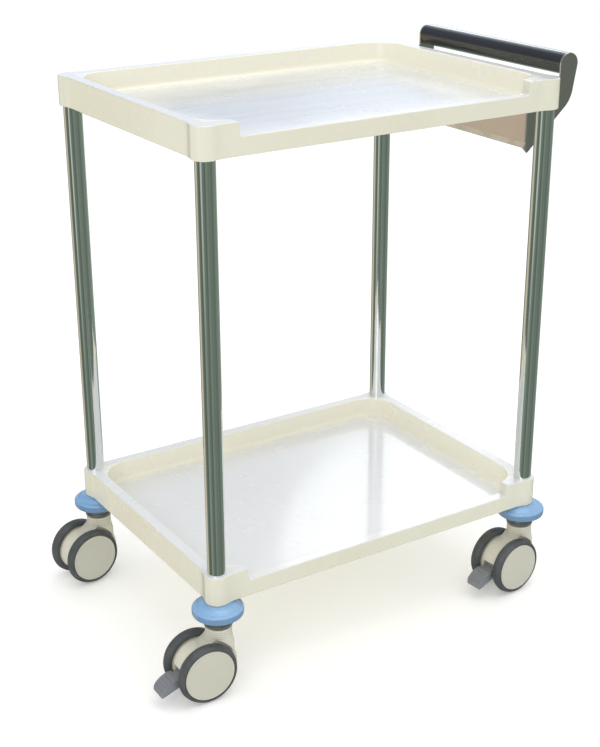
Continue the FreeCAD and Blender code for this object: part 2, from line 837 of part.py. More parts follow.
def swivel_bearing(name, corner):
    """Stacked bearing rings between the neck and the bumper's collar."""
    low = d.neck_top
    high = d.disc_collar_low - d.bearing_gap
    bore = d.stem_radius + d.run_gap
    wide = d.bearing_radius
    thin = d.bearing_groove
    edge = d.bearing_edge
    upper = wide - d.upper_ring_step
    ring_low = low + d.lower_ring_low
    ring_high = low + d.lower_ring_high
    rings = turned(f"swivel_bearing_{name}", [
        (bore, low), (thin, low), (thin, ring_low), (wide - edge, ring_low), (wide, ring_low + edge),
        (wide, ring_high - edge), (wide - edge, ring_high), (thin, ring_high),
        (thin, low + d.upper_ring_low), (upper, low + d.upper_ring_low),
        (upper, low + d.upper_ring_high), (thin, low + d.upper_ring_high), (thin, high), (bore, high),
    ])
    place(keep(rings), corner.x, corner.y, turn=corner.swivel)


def wheel_body(label):
    """An empty body and a sketch whose vertical axis is the axle."""
    body = new_body(label)
    sketch = new_sketch(body, "XY_Plane", shift_x=-d.wheel_trail, lift=d.wheel_radius)
    return body, sketch


def wheel_ring(label, corner, side, section):
    """A turned wheel piece; section lists (radius, distance from mid-plane[, bend])."""
    body, sketch = wheel_body(label)
    corners = []
    for point in section:
        flipped = (point[0], as_size(point[1]) * side)
        corners.append(flipped if len(point) == 2 else (*flipped, point[2] * side))
    draw_outline(sketch, corners)
    spin(body, "Revolution", sketch)
    place(keep(body), corner.x, corner.y, turn=corner.swivel)


def wheel(name, corner, side_name, side):
    """One of a caster's two wheels: rubber tyre, hub and a flat cap with a raised rim."""
    suffix = f"{name}_{side_name}"
    middle = (d.wheel_inner + d.wheel_outer) / 2
    shoulder = d.wheel_radius - d.tread_crown
    cap_seat = d.wheel_outer - d.cap_thickness
    edge = d.tyre_edge
    wheel_ring(f"tyre_{suffix}", corner, side, [
        (d.tyre_seat, d.wheel_inner), (shoulder - edge, d.wheel_inner),
        (shoulder, d.wheel_inner + edge, edge), (d.wheel_radius, middle, d.tread_bend),
        (shoulder, d.wheel_outer - edge, d.tread_bend), (shoulder - edge, d.wheel_outer, edge),
        (d.cap_radius, d.wheel_outer), (d.cap_radius, cap_seat), (d.tyre_seat, cap_seat),
    ])
    hub_bore = d.axle_radius + d.run_gap
    boss = hub_bore + d.hub_bore_wall
    boss_foot = d.web_half + d.hub_gap
    rim_foot = d.wheel_inner + d.hub_gap
    web_high = middle + d.hub_web
    wheel_ring(f"hub_{suffix}", corner, side, [
        (hub_bore, boss_foot), (boss, boss_foot), (boss, middle), (d.hub_rim_wall, middle),
        (d.hub_rim_wall, rim_foot), (d.tyre_seat, rim_foot), (d.tyre_seat, cap_seat),
        (d.hub_rim_wall, cap_seat), (d.hub_rim_wall, web_high), (boss, web_high), (boss, cap_seat),
        (hub_bore, cap_seat),
    ])
    rim_face = d.wheel_outer + d.cap_rim
    wheel_ring(f"hub_cap_{suffix}", corner, side, [
        (0, cap_seat), (d.cap_radius, cap_seat), (d.cap_radius, d.wheel_outer),
        (d.cap_radius - d.cap_rim_start, rim_face), (d.cap_radius - d.cap_rim_end, rim_face),
        (d.cap_radius - d.cap_rim_foot, d.wheel_outer), (0, d.wheel_outer),
    ])


def axle(name, corner):
    body, sketch = wheel_body(f"axle_{name}")
    draw_outline(sketch, rectangle(0, -d.axle_half, d.axle_radius, d.axle_half))
    spin(body, "Revolution", sketch)
    place(keep(body), corner.x, corner.y, turn=corner.swivel)


# ------------------------------------------------------------------------- foot brake


def crosswise_bar(label, corner, x, z, radius, half_length):
    """A round steel bar parallel to the axle, x and z from the wheel centre."""
    body = new_body(label)
    sketch = new_sketch(body, "XZ_Plane", shift_x=-d.wheel_trail, shift_y=d.wheel_radius)
    draw_circle(sketch, x, z, radius)
    extrude(body, "Pad", sketch, half_length * 2, side="Symmetric")
    place(keep(body), corner.x, corner.y, turn=corner.swivel)


def tongue_outline():
    """The pedal's lever inside the drum: bar eye, hinge eye and the arm out to the pedal."""
    bar_x = d.brake_bar_x
    bar_z = d.brake_bar_z
    eye = d.brake_eye
    hinge_x = d.brake_pin_x
    hinge_z = d.brake_pin_z
    hinge = d.pin_eye
    return [
        (bar_x + eye, bar_z), (bar_x, bar_z + eye, eye), (bar_x - eye, bar_z, eye),
        (hinge_x - hinge, hinge_z + d.pin_eye_rise), (d.tongue_root_x, d.tongue_root_high),
        (d.tongue_root_x, d.tongue_root_low), (hinge_x, hinge_z - hinge),
        (hinge_x + hinge, hinge_z, hinge),
    ]


def toe_corner(toe_x, side):
    """What is cut off one corner of the pedal's toe in plan, to leave it round."""
    edge = d.pedal_half * side
    inner = (d.pedal_half - d.pedal_corner) * side
    beyond = edge + PAST * side
    return [
        (toe_x - PAST, beyond), (toe_x - PAST, inner), (toe_x, inner),
        (toe_x + d.pedal_corner, edge, d.pedal_corner * -side), (toe_x + d.pedal_corner, beyond),
    ]


def pedal(name, corner):
    """Moulded foot pedal: a crowned, ridged plate on a lever that turns on the hinge pin."""
    body = new_body(f"brake_pedal_{name}")
    wheel_plane = {"shift_x": -d.wheel_trail, "shift_y": d.wheel_radius}
    toe_x = d.pedal_toe_x
    toe_z = d.pedal_toe_z
    heel_x = d.pedal_heel_x
    heel_z = d.pedal_heel_z
    crown_x = heel_x - d.pedal_heel_flat
    sketch = new_sketch(body, "XZ_Plane", **wheel_plane)
    draw_outline(sketch, [
        (heel_x, d.pedal_heel_low), (heel_x, heel_z), (crown_x, heel_z),
        (toe_x, toe_z, d.pedal_crown),
        (toe_x + d.pedal_toe_back, toe_z - d.pedal_toe_drop, d.pedal_toe_round),
    ])
    extrude(body, "Pad", sketch, d.pedal_half * 2, side="Symmetric")

    sketch = new_sketch(body, "XY_Plane", shift_x=-d.wheel_trail)
    for side in (-1, 1):
        draw_outline(sketch, toe_corner(toe_x, side))
    extrude(body, "Pocket", sketch, d.wheel_radius * 3, side="Symmetric")

    sketch = new_sketch(body, "XZ_Plane", **wheel_plane)
    draw_outline(sketch, tongue_outline())
    extrude(body, "Pad", sketch, d.tongue_half * 2, side="Symmetric")

    sketch = new_sketch(body, "XZ_Plane", **wheel_plane)
    spaces = PEDAL_RIDGES + 1
    for ridge_number in range(1, spaces):
        from_middle = abs(ridge_number - spaces / 2)
        bulge = d.ridge_bulge - d.ridge_fall * from_middle
        chord_x = toe_x + (crown_x - toe_x) * ridge_number / spaces
        chord_z = toe_z + (heel_z - toe_z) * ridge_number / spaces
        draw_circle(sketch, chord_x + bulge * d.ridge_normal_x, chord_z + bulge * d.ridge_normal_z,
                    d.ridge_radius)
    extrude(body, "Pad", sketch, d.ridge_half * 2, side="Symmetric")

    sketch = new_sketch(body, "XZ_Plane", **wheel_plane)
    draw_circle(sketch, d.brake_pin_x, d.brake_pin_z, d.brake_pin_radius + d.run_gap)
    draw_circle(sketch, d.brake_bar_x, d.brake_bar_z, d.brake_bar_radius)
    extrude(body, "Pocket", sketch, d.pedal_half * 2 + PAST, side="Symmetric")
    place(keep(body), corner.x, corner.y, turn=corner.swivel)


def foot_brake(name, corner):
    pedal(name, corner)
    crosswise_bar(f"brake_pin_{name}", corner, d.brake_pin_x, d.brake_pin_z, d.brake_pin_radius, d.web_half)
    crosswise_bar(f"brake_bar_{name}", corner, d.brake_bar_x, d.brake_bar_z, d.brake_bar_radius,
                  d.brake_bar_half)


# --------------------------------------------------------------------------- assembly

keep(tray("upper_tray", d.upper_tray_base, legs_from_above=False))
keep(tray("lower_tray", d.lower_tray_base, legs_from_above=True))
legs()
handle()
caster_stems()
for corner_name, corner in CORNERS.items():
    bumper_disc(corner_name, corner)
    housing(corner_name, corner)
    swivel_bearing(corner_name, corner)
    axle(corner_name, corner)
    wheel(corner_name, corner, "front", -1)
    wheel(corner_name, corner, "rear", 1)
    if corner.braked:
        foot_brake(corner_name, corner)

doc.recompute()


# ---------------------------------------------------------------------- check and write

for item in doc.Objects:
    if "Invalid" in item.State or "Error" in item.State:
        raise RuntimeError(f"{item.Label} did not compute: {item.State}")
for piece in pieces:
    if piece.Shape.isNull() or not piece.Shape.isValid() or not piece.Shape.Solids:
        raise RuntimeError(f"{piece.Label} has no valid solid")

os.makedirs("parts", exist_ok=True)
whole = FreeCAD.BoundBox()
for piece in pieces:
    piece.Shape.exportStep(f"parts/{piece.Label}.step")
    whole.add(piece.Shape.optimalBoundingBox(False, False))
print(f"{len(pieces)} sub-parts, box x {whole.XMin:.2f} to {whole.XMax:.2f}, "
      f"y {whole.YMin:.2f} to {whole.YMax:.2f}, z {whole.ZMin:.2f} to {whole.ZMax:.2f}")
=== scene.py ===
import json
import math

import bmesh
import bpy
from mathutils import Euler, Matrix, Vector


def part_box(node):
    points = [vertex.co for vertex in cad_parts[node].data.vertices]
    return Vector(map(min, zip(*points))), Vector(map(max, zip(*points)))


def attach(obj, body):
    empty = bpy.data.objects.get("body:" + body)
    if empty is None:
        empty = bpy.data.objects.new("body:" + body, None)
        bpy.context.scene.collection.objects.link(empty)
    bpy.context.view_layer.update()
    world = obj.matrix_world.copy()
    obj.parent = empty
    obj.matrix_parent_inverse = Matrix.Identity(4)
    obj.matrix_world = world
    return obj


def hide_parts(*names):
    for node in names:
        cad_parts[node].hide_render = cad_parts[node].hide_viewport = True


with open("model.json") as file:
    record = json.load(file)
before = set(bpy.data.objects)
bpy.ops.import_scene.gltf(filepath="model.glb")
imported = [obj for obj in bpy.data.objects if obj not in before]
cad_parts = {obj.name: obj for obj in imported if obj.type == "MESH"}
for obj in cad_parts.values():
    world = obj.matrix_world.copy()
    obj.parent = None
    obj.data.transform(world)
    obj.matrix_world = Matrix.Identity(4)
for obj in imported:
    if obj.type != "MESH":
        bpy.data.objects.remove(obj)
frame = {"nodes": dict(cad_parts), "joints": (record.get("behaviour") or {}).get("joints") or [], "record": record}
nodes = frame["nodes"]
joints = {joint["name"]: joint for joint in frame["joints"]}
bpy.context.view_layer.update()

MM = 0.001
CORNERS = ("fl", "fr", "rl", "rr")
BRAKED = ("fl", "fr")
UP = Vector((0, 0, 1))

tray_low, tray_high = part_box("upper_tray")
CENTRE_X = (tray_low.x + tray_high.x) / 2
CENTRE_Y = (tray_low.y + tray_high.y) / 2


# ------------------------------------------------------------------- material helpers


def new_material(name):
    """A material with its node tree and its main shader."""
    material = bpy.data.materials.new(name)
    material.use_nodes = True
    tree = material.node_tree
    return material, tree, tree.nodes["Principled BSDF"]


def link(tree, source, target):
    tree.links.new(source, target)


def object_coordinates(tree):
    return tree.nodes.new("ShaderNodeTexCoord").outputs["Object"]


def stretched(tree, scale=(1, 1, 1), turn=(0, 0, 0)):
    """Object coordinates, scaled and turned."""
    mapping = tree.nodes.new("ShaderNodeMapping")
    mapping.inputs["Scale"].default_value = scale
    mapping.inputs["Rotation"].default_value = turn
    link(tree, object_coordinates(tree), mapping.inputs["Vector"])
    return mapping.outputs["Vector"]


def split_axes(tree, vector):
    """The X, Y and Z of a vector, as sockets."""
    split = tree.nodes.new("ShaderNodeSeparateXYZ")
    link(tree, vector, split.inputs["Vector"])
    return split.outputs


def geometry(tree, output):
    return tree.nodes.new("ShaderNodeNewGeometry").outputs[output]


def noise(tree, scale, detail=4, rough=0.55, vector=None):
    node = tree.nodes.new("ShaderNodeTexNoise")
    node.inputs["Scale"].default_value = scale
    node.inputs["Detail"].default_value = detail
    node.inputs["Roughness"].default_value = rough
    link(tree, vector or object_coordinates(tree), node.inputs["Vector"])
    return node.outputs["Fac"]


def remap(tree, value, low_in, high_in, low_out, high_out):
    node = tree.nodes.new("ShaderNodeMapRange")
    limits = {"From Min": low_in, "From Max": high_in, "To Min": low_out, "To Max": high_out}
    for socket, number in limits.items():
        node.inputs[socket].default_value = number
    link(tree, value, node.inputs["Value"])
    return node.outputs["Result"]


# The stretch of a noise's values over which a pattern fades
TIGHT = (0.35, 0.65)
WIDE = (0.3, 0.7)
SPARSE = (0.4, 0.7)


def blotches(tree, scale, detail, fade, low_out, high_out):
    """Noise as a value that runs from low_out to high_out over the fade."""
    return remap(tree, noise(tree, scale, detail), *fade, low_out, high_out)


def mix_colours(tree, factor, first, second, blend="MIX"):
    node = tree.nodes.new("ShaderNodeMix")
    node.data_type = "RGBA"
    node.blend_type = blend
    for socket, colour in (("A", first), ("B", second)):
        target = [item for item in node.inputs if item.name == socket and item.type == "RGBA"][0]
        if isinstance(colour, tuple):
            target.default_value = (*colour, 1)
        else:
            link(tree, colour, target)
    factor_socket = [item for item in node.inputs if item.name == "Factor" and item.type == "VALUE"][0]
    if isinstance(factor, (int, float)):
        factor_socket.default_value = factor
    else:
        link(tree, factor, factor_socket)
    return [item for item in node.outputs if item.type == "RGBA"][0]


def calculate(tree, operation, first, second=None):
    node = tree.nodes.new("ShaderNodeMath")
    node.operation = operation
    for index, value in enumerate((first, second)):
        if isinstance(value, (int, float)):
            node.inputs[index].default_value = value
        elif value is not None:
            link(tree, value, node.inputs[index])
    return node.outputs[0]


def bump(tree, shader, height, strength, distance):
    node = tree.nodes.new("ShaderNodeBump")
    node.inputs["Strength"].default_value = strength
    node.inputs["Distance"].default_value = distance
    link(tree, height, node.inputs["Height"])
    link(tree, node.outputs["Normal"], shader.inputs["Normal"])


CREVICE_SAMPLES = 16
EDGE_POINTINESS = (0.52, 0.62)


def crevice(tree, distance):
    """1 in the open, falling towards 0 in tight inside corners."""
    node = tree.nodes.new("ShaderNodeAmbientOcclusion")
    node.samples = CREVICE_SAMPLES
    node.inputs["Distance"].default_value = distance
    return node.outputs["AO"]


def edge_wear_and_highlight(tree):
    """0 on flat surface, rising to 1 on outside edges."""
    return remap(tree, geometry(tree, "Pointiness"), *EDGE_POINTINESS, 0, 1)


def upward_share(tree):
    """The Z part of the surface normal: 1 on level tops, 0 on walls."""
    return split_axes(tree, geometry(tree, "Normal"))["Z"]


def darker(colour, share):
    return tuple(channel * share for channel in colour)


def set_inputs(shader, **values):
    """Set inputs by name, with an underscore for each space."""
    for name, value in values.items():
        socket = shader.inputs[name.replace("_", " ")]
        socket.default_value = (*value, 1) if isinstance(value, tuple) else value


# ---------------------------------------------------------------------------- materials


COAT_IOR = 1.5
FINE_GRAIN = 0.03 * MM


def moulded_plastic(name, colour, shade, rough, coat=0.0, corner_shade=0.25, underside_shade=1.0):
    """Injection moulding: faint cloudiness, fine grain, painted shade in inside corners, outside edges painted
    paler as rubbed wear and painted highlight, and, when asked, painted shade on faces turned down or sideways.
    """
    material, tree, shader = new_material(name)
    cloud = blotches(tree, 6, 5, TIGHT, 0, 1)
    body = mix_colours(tree, cloud, colour, shade)
    # Painted shade: inside corners found by ambient occlusion are darkened towards 55% of the colour.
    corner_shading = remap(tree, crevice(tree, 0.012), 0.35, 0.95, corner_shade, 0)
    dust_and_shade_tone = darker(colour, 0.55)
    body = mix_colours(tree, corner_shading, body, dust_and_shade_tone)
    # Outside edges painted paler: partly rubbed wear, partly a painted edge highlight.
    paler = tuple(min(channel * 1.12 + 0.01, 1) for channel in colour)
    body = mix_colours(tree, remap(tree, edge_wear_and_highlight(tree), 0, 1, 0, 0.5), body, paler)
    # Painted shade: faces turned down or sideways take the colour multiplied by this share, fading out as the
    # normal's Z rises from 0.05 to 0.75.
    if underside_shade < 1:
        handled_and_shaded_tone = mix_colours(tree, 1, body, (underside_shade,) * 3, "MULTIPLY")
        body = mix_colours(tree, remap(tree, upward_share(tree), 0.05, 0.75, 0, 1), handled_and_shaded_tone, body)
    link(tree, body, shader.inputs["Base Color"])
    spots = blotches(tree, 60, 3, WIDE, rough - 0.05, rough + 0.07)
    link(tree, spots, shader.inputs["Roughness"])
    set_inputs(shader, Coat_Weight=coat, Coat_Roughness=0.08, Coat_IOR=COAT_IOR)
    bump(tree, shader, noise(tree, 900, 2), 0.35, FINE_GRAIN)
    return material


# The tray's colours, as linear red, green and blue
CREAM = (0.70, 0.685, 0.555)
PALE_CREAM = (0.735, 0.725, 0.61)
# Inside the basins: painted bounce light from the bright floors, lighter and creamier, the lower tray's the
# lighter
LOWER_BASIN_BOUNCE_LIT = (0.97, 0.94, 0.79)
UPPER_BASIN_BOUNCE_LIT = (0.93, 0.905, 0.75)
# Painted reflection: faces turned up take a bluish white for the sky mirrored in the gloss; the lower tray's is
# lighter, painted light against the shade under the upper tray
LOWER_PAINTED_SKY = (0.79, 0.80, 0.815)
UPPER_PAINTED_SKY = (0.72, 0.73, 0.745)
SCUFFED = (0.49, 0.51, 0.56)

# Rectangles about the trays' middle: half length, half width and soft border, in metres
BASIN = (0.3050, 0.2167, 0.0012)
# Where the painted sky reflection covers the floors
SKY_TINTED_FLOOR = (0.296, 0.208, 0.016)
SCUFFED_PATCH = (0.260, 0.172, 0.060)
# Raggedness of the painted sky reflection's border on the floors, in metres
SKY_TINT_RAGGEDNESS = 0.006
PATCH_WEAR = 0.030

# Heights over which something begins or ends, in metres
BETWEEN_TRAYS = (0.45, 0.55)
UPPER_FLOOR = (0.80, 0.82)
UPPER_RIM = (0.872, 0.876)


def tray_plastic():
    """Cream ABS with a wet-looking gloss; the basins' insides are painted lighter as bounce light, faces turned up
    carry a painted bluish-white sky reflection, and the upper tray's floor is scuffed.
    """
    material, tree, shader = new_material("tray_plastic")
    body = mix_colours(tree, blotches(tree, 3.2, 4, TIGHT, 0, 1), CREAM, PALE_CREAM)
    facing = upward_share(tree)
    height = split_axes(tree, geometry(tree, "Position"))["Z"]
    upper = remap(tree, height, *BETWEEN_TRAYS, 0, 1)
    ragged_sky_edge = blotches(tree, 22, 4, WIDE, -SKY_TINT_RAGGEDNESS, SKY_TINT_RAGGEDNESS)
    # Painted bounce light on the basins' inner walls and floors.
    bounce_lit_inner = mix_colours(tree, upper, LOWER_BASIN_BOUNCE_LIT, UPPER_BASIN_BOUNCE_LIT)
    body = mix_colours(tree, within_basin(tree, *BASIN), body, bounce_lit_inner)
    # Painted sky reflection on faces turned up, held back beside the basin walls.
    painted_sky_tint = mix_colours(tree, upper, LOWER_PAINTED_SKY, UPPER_PAINTED_SKY)
    off_floor = remap(tree, within_basin(tree, *SKY_TINTED_FLOOR, ragged_sky_edge), 0, 1, 0.55, 0)
    near_wall = calculate(tree, "MULTIPLY", within_basin(tree, *BASIN), off_floor)
    painted_sky_share = calculate(tree, "SUBTRACT", remap(tree, facing, 0.6, 0.97, 0, 1), near_wall)
    body = mix_colours(tree, painted_sky_share, body, painted_sky_tint)
    body = mix_colours(tree, scuffed_film(tree, facing), body, SCUFFED)
    link(tree, body, shader.inputs["Base Color"])
    link(tree, blotches(tree, 12, 3, WIDE, 0.24, 0.29), shader.inputs["Roughness"])
    set_inputs(shader, Coat_Weight=0.7, Coat_Roughness=0.09, Coat_IOR=COAT_IOR)
    bump(tree, shader, noise(tree, 260, 2), 0.05, 0.02 * MM)
    return material


def within_basin(tree, reach_x, reach_y, soft, ragged=None):
    """1 inside a rectangle about the trays' middle, falling to 0 over a soft border in metres."""
    place = split_axes(tree, geometry(tree, "Position"))
    beyond = []
    for axis, centre, reach in (("X", CENTRE_X, reach_x), ("Y", CENTRE_Y, reach_y)):
        offset = calculate(tree, "SUBTRACT", place[axis], centre)
        beyond.append(calculate(tree, "SUBTRACT", calculate(tree, "ABSOLUTE", offset), reach))
    edge = calculate(tree, "MAXIMUM", *beyond)
    if ragged is not None:
        edge = calculate(tree, "ADD", edge, ragged)
    return remap(tree, edge, -soft, 0, 1, 0)


def scuffed_film(tree, upward):
    """Where the upper tray's floor is scuffed: a ragged patch, clear of the walls."""
    height = split_axes(tree, geometry(tree, "Position"))["Z"]
    ragged = remap(tree, noise(tree, 7, 6, 0.62), *WIDE, -PATCH_WEAR, PATCH_WEAR)
    inside = within_basin(tree, *SCUFFED_PATCH, ragged)
    along = stretched(tree, (5, 60, 5), (0, 0, 0.35))
    streaks = remap(tree, noise(tree, 1, 5, 0.7, vector=along), *TIGHT, 0.6, 1)
    level = remap(tree, upward, 0.9, 0.99, 0, 1)
    floor_only = calculate(tree, "MULTIPLY", level, remap(tree, height, *UPPER_FLOOR, 0, 1))
    below_rim = remap(tree, height, *UPPER_RIM, 1, 0)
    patch = calculate(tree, "MULTIPLY", inside, streaks)
    return calculate(tree, "MULTIPLY", patch, calculate(tree, "MULTIPLY", floor_only, below_rim))


def polished_steel(name, colour, rough, grain_scale, grain_strength):
    """Polished stainless: faint drawing lines along the grain and slightly uneven gloss."""
    material, tree, shader = new_material(name)
    lines = noise(tree, 1, 3, vector=stretched(tree, grain_scale))
    tint = mix_colours(tree, remap(tree, lines, *WIDE, 0, 1), colour, darker(colour, 0.95))
    smudges = blotches(tree, 14, 5, SPARSE, 0, 0.25)
    tint = mix_colours(tree, smudges, tint, darker(colour, 0.82))
    link(tree, tint, shader.inputs["Base Color"])
    set_inputs(shader, Metallic=1.0)
    link(tree, remap(tree, lines, 0.2, 0.8, rough * 0.7, rough * 1.5), shader.inputs["Roughness"])
    bump(tree, shader, lines, grain_strength, FINE_GRAIN)
    return material


def grip_sleeve():
    """Black vinyl sleeve with a fine leathery grain, a little shinier where hands rub."""
    material, tree, shader = new_material("grip_sleeve")
    unworn = (0.006, 0.007, 0.009)
    handled_and_shaded_tone = (0.011, 0.012, 0.016)
    rubbed = remap(tree, noise(tree, 8, 4, vector=stretched(tree, (1, 0.35, 1))), 0.35, 0.7, 0, 1)
    colour = mix_colours(tree, rubbed, unworn, handled_and_shaded_tone)
    link(tree, colour, shader.inputs["Base Color"])
    link(tree, remap(tree, rubbed, 0, 1, 0.34, 0.24), shader.inputs["Roughness"])
    set_inputs(shader, Coat_Weight=1.0, Coat_Roughness=0.12, Coat_IOR=1.65)
    shader.inputs["Specular IOR Level"].default_value = 0.35
    cells = tree.nodes.new("ShaderNodeTexVoronoi")
    cells.inputs["Scale"].default_value = 1300
    link(tree, object_coordinates(tree), cells.inputs["Vector"])
    bump(tree, shader, cells.outputs["Distance"], 0.18, 0.08 * MM)
    return material


def tyre_rubber():
    """Grey thermoplastic rubber: dusty, finely pitted and dull, with painted shade in its recesses."""
    material, tree, shader = new_material("tyre_rubber")
    rubber = (0.066, 0.071, 0.073)
    dust_and_shade_tone = (0.118, 0.124, 0.127)
    recess_shade = (0.025, 0.027, 0.030)
    dust = blotches(tree, 45, 6, SPARSE, 0, 0.6)
    colour = mix_colours(tree, dust, rubber, dust_and_shade_tone)
    # Painted shade: recesses found by ambient occlusion darken towards near black.
    recess_shading = remap(tree, crevice(tree, 0.006), 0.3, 0.9, 0.6, 0)
    colour = mix_colours(tree, recess_shading, colour, recess_shade)
    link(tree, colour, shader.inputs["Base Color"])
    link(tree, blotches(tree, 120, 4, WIDE, 0.48, 0.66), shader.inputs["Roughness"])
    bump(tree, shader, noise(tree, 1100, 3), 0.4, 0.06 * MM)
    return material


def zinc_steel(name, colour, rough):
    """Zinc-plated steel with a fine spangle and uneven gloss."""
    material, tree, shader = new_material(name)
    spangle = tree.nodes.new("ShaderNodeTexVoronoi")
    spangle.inputs["Scale"].default_value = 260
    link(tree, object_coordinates(tree), spangle.inputs["Vector"])
    tint = mix_colours(tree, spangle.outputs["Distance"], colour, darker(colour, 0.8))
    link(tree, tint, shader.inputs["Base Color"])
    set_inputs(shader, Metallic=1.0)
    link(tree, blotches(tree, 300, 4, WIDE, rough - 0.06, rough + 0.1), shader.inputs["Roughness"])
    bump(tree, shader, noise(tree, 700, 3), 0.2, FINE_GRAIN)
    return material


MATERIALS = {
    "tray_plastic": tray_plastic(),
    "leg_steel": polished_steel(
        "leg_steel", (0.84, 0.86, 0.83), rough=0.07, grain_scale=(330, 330, 2.5), grain_strength=0.05),
    "handle_steel": polished_steel(
        "handle_steel", (0.78, 0.71, 0.69), rough=0.16, grain_scale=(12, 420, 420), grain_strength=0.08),
    "grip_rubber": grip_sleeve(),
    # Bumper: faces turned down or sideways painted darker as shade.
    "bumper_plastic": moulded_plastic(
        "bumper_plastic", (0.22, 0.42, 0.71), (0.265, 0.47, 0.74), rough=0.28, coat=0.7, underside_shade=0.62),
    # Caster and pedal plastics: strong painted shade in inside corners.
    "caster_plastic": moulded_plastic(
        "caster_plastic", (0.66, 0.64, 0.53), (0.70, 0.685, 0.58), rough=0.42, corner_shade=0.5),
    "cap_plastic": moulded_plastic(
        "cap_plastic", (0.545, 0.54, 0.45), (0.575, 0.57, 0.49), rough=0.34, coat=0.15),
    "tyre_rubber": tyre_rubber(),
    "pedal_plastic": moulded_plastic(
        "pedal_plastic", (0.195, 0.205, 0.225), (0.235, 0.245, 0.265), rough=0.5, corner_shade=0.6),
    "bearing_steel": zinc_steel("bearing_steel", (0.52, 0.51, 0.47), rough=0.42),
    "zinc_steel": zinc_steel("zinc_steel", (0.62, 0.63, 0.64), rough=0.32),
}

slot_of = {part["node"]: part["material_slot"] for part in frame["record"]["subparts"]}


def dress(piece, slot):
    """Give a piece the one material of its slot."""
    piece.data.materials.clear()
    piece.data.materials.append(MATERIALS[slot])


for node_name, node in nodes.items():
    material = MATERIALS[slot_of[node_name]]
    for material_slot in node.material_slots:
        material_slot.material = material


# --------------------------------------------------------------------------- mesh tools


SHARP_DEGREES = 35
FLAT_DEGREES = 1.5
BEVEL_DEGREES = 40
MERGE = 1e-7
CAD_MERGE = 2e-6


def finish_piece(name, mesh_builder, body, replaced, slot):
    """Turn a bmesh into a piece that rides on a body, stands for a CAD node and has its finish."""
    mesh = bpy.data.meshes.new(name)
    bmesh.ops.recalc_face_normals(mesh_builder, faces=mesh_builder.faces)
    mesh_builder.to_mesh(mesh)
    mesh_builder.free()
    piece = bpy.data.objects.new(name, mesh)
    bpy.context.scene.collection.objects.link(piece)
    shade(piece)
    dress(piece, slot)
    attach(piece, body)
    if replaced:
        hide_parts(replaced)
    return piece


def shade(piece):
    """Smooth shading: edges sharper than the angle stay crisp and flat faces stay flat."""
    for polygon in piece.data.polygons:
        polygon.use_smooth = True
    piece.data.set_sharp_from_angle(angle=math.radians(SHARP_DEGREES))
    even = piece.modifiers.new("even_normals", "WEIGHTED_NORMAL")
    even.keep_sharp = True


def rounded(points, steps=5):
    """A closed outline of (x, y[, radius]) with each corner replaced by an arc."""
    result = []
    for index, point in enumerate(points):
        radius = point[2] if len(point) > 2 else 0
        here = Vector(point[:2])
        before = Vector(points[index - 1][:2]) - here
        after = Vector(points[(index + 1) % len(points)][:2]) - here
        if radius <= 0:
            result.append(here)
            continue
        half = before.angle(after) / 2
        run = min(radius / math.tan(half), before.length * 0.49, after.length * 0.49)
        radius = run * math.tan(half)
        centre = here + (before.normalized() + after.normalized()).normalized() * (radius / math.sin(half))
        start = here + before.normalized() * run - centre
        end = here + after.normalized() * run - centre
        turn = start.angle_signed(end)
        for step in range(steps + 1):
            result.append(centre + Matrix.Rotation(-turn * step / steps, 2) @ start)
    return result


def lathe(profile, segments, start=0.0, sweep=2 * math.pi):
    """Turn a closed (radius, height) outline about Z; a part sweep gets end caps."""
    builder = bmesh.new()
    whole = sweep > 2 * math.pi - 1e-6
    count = segments if whole else segments + 1
    rings = []
    for step in range(count):
        angle = start + sweep * step / segments
        ring = []
        for radius, height in profile:
            place = (radius * math.cos(angle), radius * math.sin(angle), height)
            ring.append(builder.verts.new(place))
        rings.append(ring)
    size = len(profile)
    for step in range(segments):
        ring, following = rings[step], rings[(step + 1) % count]
        for index in range(size):
            other = (index + 1) % size
            corners = (ring[index], ring[other], following[other], following[index])
            if len(set(corners)) == 4:
                builder.faces.new(corners)
    if not whole:
        builder.faces.new(rings[0])
        builder.faces.new(rings[-1][::-1])
    bmesh.ops.remove_doubles(builder, verts=builder.verts, dist=MERGE)
    bmesh.ops.dissolve_degenerate(builder, edges=builder.edges, dist=MERGE)
    return builder


def stand_on(builder, place, axis=UP):
    """Move a lathed mesh so that its axis runs along axis through place."""
    turn = UP.rotation_difference(Vector(axis)).to_matrix().to_4x4()
    bmesh.ops.transform(builder, matrix=Matrix.Translation(place) @ turn, verts=builder.verts)
    return builder


def softened_copy(name, body, slot, width):
    """The CAD shape with its sharp edges rounded."""
    builder = bmesh.new()
    builder.from_mesh(nodes[name].data)
    bmesh.ops.remove_doubles(builder, verts=builder.verts, dist=CAD_MERGE)
    shallow = math.radians(FLAT_DEGREES)
    steep = math.radians(BEVEL_DEGREES)
    flat = [edge for edge in builder.edges if edge.is_manifold and edge.calc_face_angle() < shallow]
    bmesh.ops.dissolve_edges(builder, edges=flat, use_verts=True)
    sharp = [edge for edge in builder.edges if edge.is_manifold and edge.calc_face_angle() > steep]
    bmesh.ops.bevel(builder, geom=sharp, offset=width, segments=2, profile=0.6, affect="EDGES",
                    clamp_overlap=True)
    return finish_piece(f"{name}_soft", builder, body, name, slot)


# ---------------------------------------------------------------------------- the pieces


# The wheels, as the CAD has them
WHEEL_RADIUS = 50 * MM
WHEEL_HALF = 9 * MM
WHEEL_SEGMENTS = 120
DISC_SEGMENTS = 96
LEG_SEGMENTS = 128


